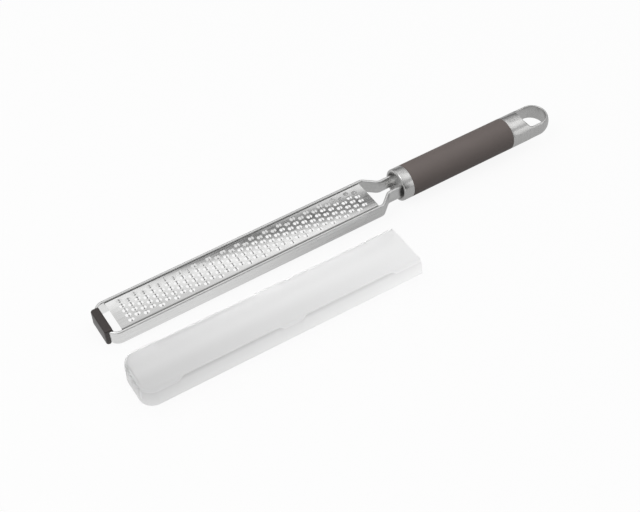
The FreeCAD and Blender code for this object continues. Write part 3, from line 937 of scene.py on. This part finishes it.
class ZESTER_OT_add_cap(bpy.types.Operator):
    """Shape the rear cap and its flattened hanging eye"""

    bl_idname = "zester.add_cap"
    bl_label = "Rear cap"

    def execute(self, context):
        scene = context.scene
        handle = scene.zester_handle
        axis = handle.axis_height
        edge = handle.joint_round
        cap = CapShape(scene)
        bm = bmesh.new()
        uv_layer = bm.loops.layers.uv.new("brush")

        # Round front and scoops, up to the eye
        rows = []
        for x, radius in arc((cap.front + edge, cap.radius - edge), edge, math.pi, QUARTER, 4):
            shrink = radius / cap.radius
            rows.append((x, [(y * shrink, z * shrink) for y, z in cap.section(cap.radius)]))
        places = even_steps(cap.front + edge, cap.scoop, 4)[1:]
        steep = math.asin((cap.tongue - cap.scoop) / cap.hollow)
        gentle = math.asin((cap.tongue - cap.eye) / cap.hollow)
        places += [cap.tongue - cap.hollow * math.sin(lean) for lean in even_steps(steep, gentle, 12)[1:]]
        rows += [(x, cap.section(cap.half_height(x))) for x in places]
        for side in (-1.0, 1.0):
            strips = [[bm.verts.new((x, side * y, axis + z)) for y, z in ring] for x, ring in rows]
            bridge(bm, strips, closed=False)
            hub = bm.verts.new((cap.front, 0.0, axis))
            for first, second in zip(strips[0], strips[0][1:]):
                bm.faces.new((first, second, hub))

        # Tongue round the eye, from the near side over the end to the far side
        stops = [cap.eye + cap.corner * (1 - math.cos(turn)) for turn in even_steps(0.0, QUARTER, 12)]
        stops += even_steps(stops[-1], cap.tongue, 4)[1:]
        stops.append(cap.centre)
        loop = [(x, -QUARTER) for x in stops]
        loop += [(cap.centre, turn) for turn in even_steps(-QUARTER, QUARTER, 36)[1:-1]]
        loop += [(x, QUARTER) for x in reversed(stops)]
        rings = []
        for x, turn in loop:
            rounding = handle.eye_round * min((x - cap.eye) / handle.eye_round_run, 1.0)
            ring = cap.section(cap.half_height(x), cap.eye_side(x), rounding)
            out_x, out_y = math.cos(turn), math.sin(turn)
            rings.append([bm.verts.new((x + out_x * y, out_y * y, axis + z)) for y, z in ring])
        bridge(bm, rings)

        # Wall at the front of the eye
        wall_half = cap.eye_side(cap.eye)
        levels = (axis - cap.eye_height, axis + cap.eye_height)
        columns = [[bm.verts.new((cap.eye, y, z)) for z in levels] for y in (-wall_half, 0.0, wall_half)]
        bridge(bm, columns, closed=False)

        girth = 2 * math.pi * cap.radius
        for face in bm.faces:
            turns = []
            for corner in face.loops:
                turns.append(math.atan2(corner.vert.co.y, corner.vert.co.z - axis) * cap.radius)
            if max(turns) - min(turns) > girth / 2:
                turns = [t + girth if t < 0.0 else t for t in turns]
            for corner, t in zip(face.loops, turns):
                corner[uv_layer].uv = (t, corner.vert.co.x)
        mesh = finished_mesh(bm, "rear_cap_shaped", sharp_degrees=32,
                             placement=tool_placement(scene.zester_frame))
        add_piece(mesh, handle_steel(handle), "zester", "rear_cap")
        return {"FINISHED"}


class ZESTER_OT_finish_inside(bpy.types.Operator):
    """Give the hidden core and pins of the handle their materials"""

    bl_idname = "zester.finish_inside"
    bl_label = "Core and pins"

    def execute(self, context):
        handle = context.scene.zester_handle
        finishes = {
            "handle_core": moulded("core_plastic_matt", handle.core, grain_scale=2000.0, roughness=0.5,
                                   depth=0.00003),
            "tang_pins": brushed_steel("pin_steel_drawn", handle.steel, "Object", fineness=5000.0,
                                       stretch=40.0, roughness=0.3),
        }
        for node, material in finishes.items():
            frame["nodes"][node].data.materials.clear()
            frame["nodes"][node].data.materials.append(material)
        return {"FINISHED"}


SKIRT_LEVELS = (0.0, 0.25, 0.5, 0.75, 1.0)
RIDGE = len(SKIRT_LEVELS)
# What a line of the cover's profile adds to its painted light, beside a side panel and over one: a painted
# highlight on the ridge and painted shade on the line below it
RIDGE_PAINTED_LIGHT = {RIDGE - 1: (-0.08, -0.4), RIDGE: (0.3, 1.0)}


def panel_weight(x, cover, front, rear):
    """How fully a side panel is pressed in at one place along the cover, from 0 to 1."""
    weight = 0.0
    spans = ((cover.front_panel_start, cover.front_panel_end), (cover.rear_panel_start, cover.rear_panel_end))
    for start_share, end_share in spans:
        start = front + (rear - front) * start_share
        end = front + (rear - front) * end_share
        inside = min(x - start, end - x) / cover.panel_run
        ease = min(max(inside, 0.0), 1.0)
        weight = max(weight, ease * ease * (3.0 - 2.0 * ease))
    return weight


def cover_profile(cover, height, weight):
    """Skirt and rounded edge as (inset, height): up to the ridge, then over it to the flat top."""
    radius = cover.edge_round
    soft = cover.ridge_round
    slope = weight * cover.panel_depth / height
    ridge = 0.0
    # The ridge's inset and its place on the rounding depend on each other, so both are closed in on
    for _ in range(30):
        inset = slope * (height - radius + radius * math.sin(ridge))
        ridge = math.acos(1.0 - inset / radius)
    ridge_height = height - radius + radius * math.sin(ridge)
    levels = [level * (ridge_height - soft) for level in SKIRT_LEVELS] + [ridge_height]
    skirt = [(slope * z, z) for z in levels]
    first = math.pi - ridge - soft / radius
    return skirt + arc((radius, height - radius), radius, first, QUARTER, 10)


def painted_light_level(cover, behind, across, high):
    """Painted light and shade at a place given as shares of the cover's length, half width and height."""
    middle_run = 0.4
    rear_gain = 0.4
    rear_fall = 1.4
    # 1 on the flat top, close to 0 on the skirt
    top = high ** 10
    far = max(across, 0.0)
    from_middle = min(max(1.0 + across / middle_run, 0.0), 1.0)
    rear_fade = 1.0 + rear_gain * behind - rear_fall * behind ** 4
    # Painted light: more towards the far side of the top, down the skirt to the rim and in the far skirt
    lift = (cover.painted_light_middle * from_middle + cover.painted_light_far_top * far ** 2) * rear_fade
    skirt = cover.painted_light_rim * (1.0 - high) + cover.painted_light_far_skirt * far ** 4 * (1.0 - top)
    return cover.painted_light_front + cover.painted_light_rear * behind + skirt + lift * top


def ridge_painted_light(k, weight):
    """Painted highlight along the ridge and painted shade right below it, both stronger over a side panel."""
    beside, over = RIDGE_PAINTED_LIGHT.get(k, (0.0, 0.0))
    return beside + (over - beside) * weight


class ZESTER_OT_add_cover(bpy.types.Operator):
    """Mould the loose translucent blade cover"""

    bl_idname = "zester.add_cover"
    bl_label = "Blade cover"

    def execute(self, context):
        cover = context.scene.zester_cover
        front, rear = COVER_LOW.x, COVER_HIGH.x
        middle = (COVER_LOW.y + COVER_HIGH.y) / 2
        half = (COVER_HIGH.y - COVER_LOW.y) / 2
        height = COVER_HIGH.z - COVER_LOW.z
        corner = cover.corner
        slope_run = cover.rear_slope_run

        # Half of the rim from the rear to the middle of the front, then its mirror image
        stations = []
        for x in even_steps(rear, front + corner, 150):
            stations.append((Vector((x, -half)), Vector((0.0, -1.0)), panel_weight(x, cover, front, rear)))
        pivot = Vector((front + corner, corner - half))
        for turn in even_steps(0.0, QUARTER, 16)[1:]:
            outwards = Vector((-math.sin(turn), -math.cos(turn)))
            stations.append((pivot + outwards * corner, outwards, 0.0))
        stations += [(Vector((p.x, -p.y)), Vector((n.x, -n.y)), w) for p, n, w in reversed(stations)]

        bm = bmesh.new()
        # Layer that holds the painted light and shade of each vertex, for the material
        thin = bm.verts.layers.float.new("thin")

        def new_vertex(x, y, z):
            vertex = bm.verts.new((x, middle + y, COVER_LOW.z + z))
            # Painted light and shade for this place on the cover
            vertex[thin] = painted_light_level(cover, (x - front) / (rear - front), y / half, z / height)
            return vertex

        rings = []
        for point, outwards, weight in stations:
            ring = []
            for k, (inset, z) in enumerate(cover_profile(cover, height, weight)):
                place = point - outwards * inset
                end_share = max(place.x - (rear - slope_run), 0.0) / slope_run
                vertex = new_vertex(place.x - cover.rear_slope * z / height * end_share, place.y, z)
                # Painted highlight on the ridge and painted shade on the line just below it
                vertex[thin] += ridge_painted_light(k, weight)
                ring.append(vertex)
            rings.append(ring)
        bridge(bm, rings, closed=False)
        strips = []
        for near, far in zip(rings[:len(rings) // 2], reversed(rings)):
            strip = [near[-1]]
            for part in even_steps(0.0, 1.0, 8)[1:-1]:
                place = near[-1].co.lerp(far[-1].co, part)
                strip.append(new_vertex(place.x, place.y - middle, height))
            strips.append(strip + [far[-1]])
        bridge(bm, strips, closed=False)
        mesh = finished_mesh(bm, "blade_cover_moulded", sharp_degrees=22)
        if sum(face.normal.z for face in mesh.polygons) < 0.0:
            mesh.flip_normals()
        material = frosted_plastic("cover_plastic_frosted", cover.painted_shade, cover.thin, "thin")
        piece = add_piece(mesh, material, "cover", "blade_cover")
        wall = piece.modifiers.new("Wall", "SOLIDIFY")
        wall.thickness = cover.wall
        wall.offset = -1.0
        wall.use_even_offset = True
        rim = piece.modifiers.new("Rim", "BEVEL")
        rim.width = cover.rim_round
        rim.segments = 2
        rim.limit_method = "ANGLE"
        rim.angle_limit = math.radians(60)
        return {"FINISHED"}


# Stage

LAMPS = {
    "key_softbox": {"place": (-0.6, 0.1, 1.1), "target": (0.0, 0.0, 0.0), "size": (0.7, 0.7), "power": 3.0},
    "rear_softbox": {"place": (0.7, -0.15, 0.8), "target": (0.1, 0.0, 0.0), "size": (0.6, 0.6), "power": 0.4},
    "side_card": {"place": (0.66, -0.68, 0.28), "target": (0.16, 0.03, 0.02), "size": (0.35, 0.5),
                  "power": 0.5},
}


def area_light(name, place, target, size, power):
    data = bpy.data.lights.new(name, "AREA")
    data.shape = "RECTANGLE"
    data.size, data.size_y = size
    data.energy = power
    lamp = bpy.data.objects.new(name, data)
    lamp.location = place
    lamp.rotation_euler = (Vector(target) - Vector(place)).to_track_quat("-Z", "Y").to_euler()
    bpy.context.scene.collection.objects.link(lamp)


def floor_material(stage):
    """White to the camera and in the metal, with a soft shadow and little light thrown back at the object."""
    material, tree, shader = new_material("floor_white")
    path = wired(tree, "ShaderNodeLightPath", {})
    straight = calc(tree, "MAXIMUM", path["Is Camera Ray"], path["Is Transmission Ray"])
    shade = blend(tree, straight, [stage.floor_bounce] * 3, stage.floor)
    fill(tree, shader.inputs, {"Base Color": shade, "Roughness": 0.9, "Specular IOR Level": 0.1})
    parts = wired(tree, "ShaderNodeSeparateXYZ", {0: wired(tree, "ShaderNodeTexCoord", {})["Object"]})
    beside = soft_step(tree, parts["X"], span=(-0.12, 0.02), levels=(0.86, 0.4))
    under_blade = calc(tree, "MULTIPLY", soft_step(tree, parts["X"], span=(0.0, 0.02), levels=(1.0, 0.0)),
                       soft_step(tree, parts["Y"], span=(0.0125, 0.0155), levels=(0.0, 1.0)))
    mirrored = calc(tree, "MULTIPLY", path["Is Glossy Ray"], calc(tree, "MAXIMUM", beside, under_blade))
    amount = calc(tree, "MAXIMUM", calc(tree, "MULTIPLY", straight, stage.floor_glow), mirrored)
    glow = wired(tree, "ShaderNodeEmission", {"Strength": 1.0, "Color": WHITE})[0]
    surface = wired(tree, "ShaderNodeMixShader", {"Fac": amount, 1: shader.outputs[0], 2: glow})[0]
    fill(tree, tree.nodes["Material Output"].inputs, {"Surface": surface})
    return material


def studio_world(gap_light):
    """Light tent: bright overhead, dim at the horizon and behind the camera, with a dark gap to the right."""
    world = bpy.data.worlds.new("studio_world")
    world.use_nodes = True
    tree = world.node_tree
    source = wired(tree, "ShaderNodeTexCoord", {})["Generated"]
    parts = wired(tree, "ShaderNodeSeparateXYZ", {0: source})
    across_gap = (0.757, 0.27, -0.597)
    flag = wired(tree, "ShaderNodeVectorMath", {0: source, 1: across_gap}, operation="DOT_PRODUCT")["Value"]
    before_gap = soft_step(tree, flag, span=(-0.075, -0.04), levels=(1.08, gap_light))
    after_gap = soft_step(tree, flag, span=(0.015, 0.075), levels=(gap_light, 1.15))
    overhead = soft_step(tree, parts["Z"], span=(0.0, 0.75), levels=(0.25, 1.2))
    far_left = soft_step(tree, flag, span=(-0.20, -0.09), levels=(0.66, 1.06))
    far_right = soft_step(tree, flag, span=(0.06, 0.16), levels=(1.0, 0.4))
    near_side = soft_step(tree, parts["Y"], span=(-0.9, 0.1), levels=(0.45, 1.0))
    level = calc(tree, "MAXIMUM", before_gap, after_gap)
    for share_of_light in (overhead, far_left, far_right, near_side):
        level = calc(tree, "MULTIPLY", level, share_of_light)
    seen = wired(tree, "ShaderNodeLightPath", {})["Is Camera Ray"]
    level = calc(tree, "MAXIMUM", level, seen)
    fill(tree, tree.nodes["Background"].inputs, {"Strength": level, "Color": WHITE})
    return world


class ZESTER_OT_set_stage(bpy.types.Operator):
    """Set up floor, light and camera"""

    bl_idname = "zester.set_stage"
    bl_label = "Stage"

    floor_gap = 0.0001

    def execute(self, context):
        scene = context.scene
        stage = scene.zester_stage
        half = stage.floor_size / 2
        mesh = bpy.data.meshes.new("studio_floor")
        corners = [(-half, -half, 0.0), (half, -half, 0.0), (half, half, 0.0), (-half, half, 0.0)]
        mesh.from_pydata(corners, [], [(0, 1, 2, 3)])
        mesh.materials.append(floor_material(stage))
        floor = bpy.data.objects.new("studio_floor", mesh)
        floor.location.z = -self.floor_gap
        scene.collection.objects.link(floor)

        for name, lamp in LAMPS.items():
            area_light(name, **lamp)
        scene.world = studio_world(stage.gap_light)
        scene.view_settings.view_transform = "Standard"

        lens = bpy.data.cameras.new("photo_camera")
        lens.lens = stage.focal_length
        lens.sensor_width = 36.0
        lens.clip_start = 0.01
        camera = bpy.data.objects.new("photo_camera", lens)
        place = Vector(stage.camera_place)
        back_axis = (place - Vector(stage.camera_target)).normalized()
        level = Vector((0.0, 0.0, 1.0)).cross(back_axis).normalized()
        upright = back_axis.cross(level)
        turn = Matrix((level, upright, back_axis)).transposed() @ Matrix.Rotation(stage.camera_roll, 3, "Z")
        camera.matrix_world = Matrix.Translation(place) @ turn.to_4x4()
        scene.collection.objects.link(camera)
        scene.camera = camera
        return {"FINISHED"}


class ZESTER_PT_panel(bpy.types.Panel):
    """Sidebar panel with the zester's steps and sizes"""

    bl_idname = "ZESTER_PT_panel"
    bl_label = "Rasp zester"
    bl_space_type = "VIEW_3D"
    bl_region_type = "UI"
    bl_category = "Zester"

    def draw(self, context):
        layout = self.layout
        for operator in OPERATORS:
            layout.operator(operator.bl_idname)
        for group_name, group in SETTINGS.items():
            box = layout.box()
            box.label(text=group_name)
            settings = getattr(context.scene, group_name)
            for field in group.__annotations__:
                box.prop(settings, field)


SETTINGS = {
    "zester_frame": ZesterFrameSettings,
    "zester_blade": ZesterBladeSettings,
    "zester_handle": ZesterHandleSettings,
    "zester_cover": ZesterCoverSettings,
    "zester_stage": ZesterStageSettings,
}
OPERATORS = (
    ZESTER_OT_add_frame,
    ZESTER_OT_add_foot,
    ZESTER_OT_add_blade,
    ZESTER_OT_add_ferrule,
    ZESTER_OT_add_grip,
    ZESTER_OT_add_cap,
    ZESTER_OT_finish_inside,
    ZESTER_OT_add_cover,
    ZESTER_OT_set_stage,
)


def register():
    for group_name, group in SETTINGS.items():
        bpy.utils.register_class(group)
        setattr(bpy.types.Scene, group_name, PointerProperty(type=group))
    for operator in OPERATORS:
        bpy.utils.register_class(operator)
    bpy.utils.register_class(ZESTER_PT_panel)


def unregister():
    bpy.utils.unregister_class(ZESTER_PT_panel)
    for operator in reversed(OPERATORS):
        bpy.utils.unregister_class(operator)
    for group_name, group in SETTINGS.items():
        delattr(bpy.types.Scene, group_name)
        bpy.utils.unregister_class(group)


def main():
    register()
    bpy.ops.zester.add_frame()
    bpy.ops.zester.add_foot()
    bpy.ops.zester.add_blade()
    bpy.ops.zester.add_ferrule()
    bpy.ops.zester.add_grip()
    bpy.ops.zester.add_cap()
    bpy.ops.zester.finish_inside()
    bpy.ops.zester.add_cover()
    bpy.ops.zester.set_stage()


if __name__ == "__main__":
    main()
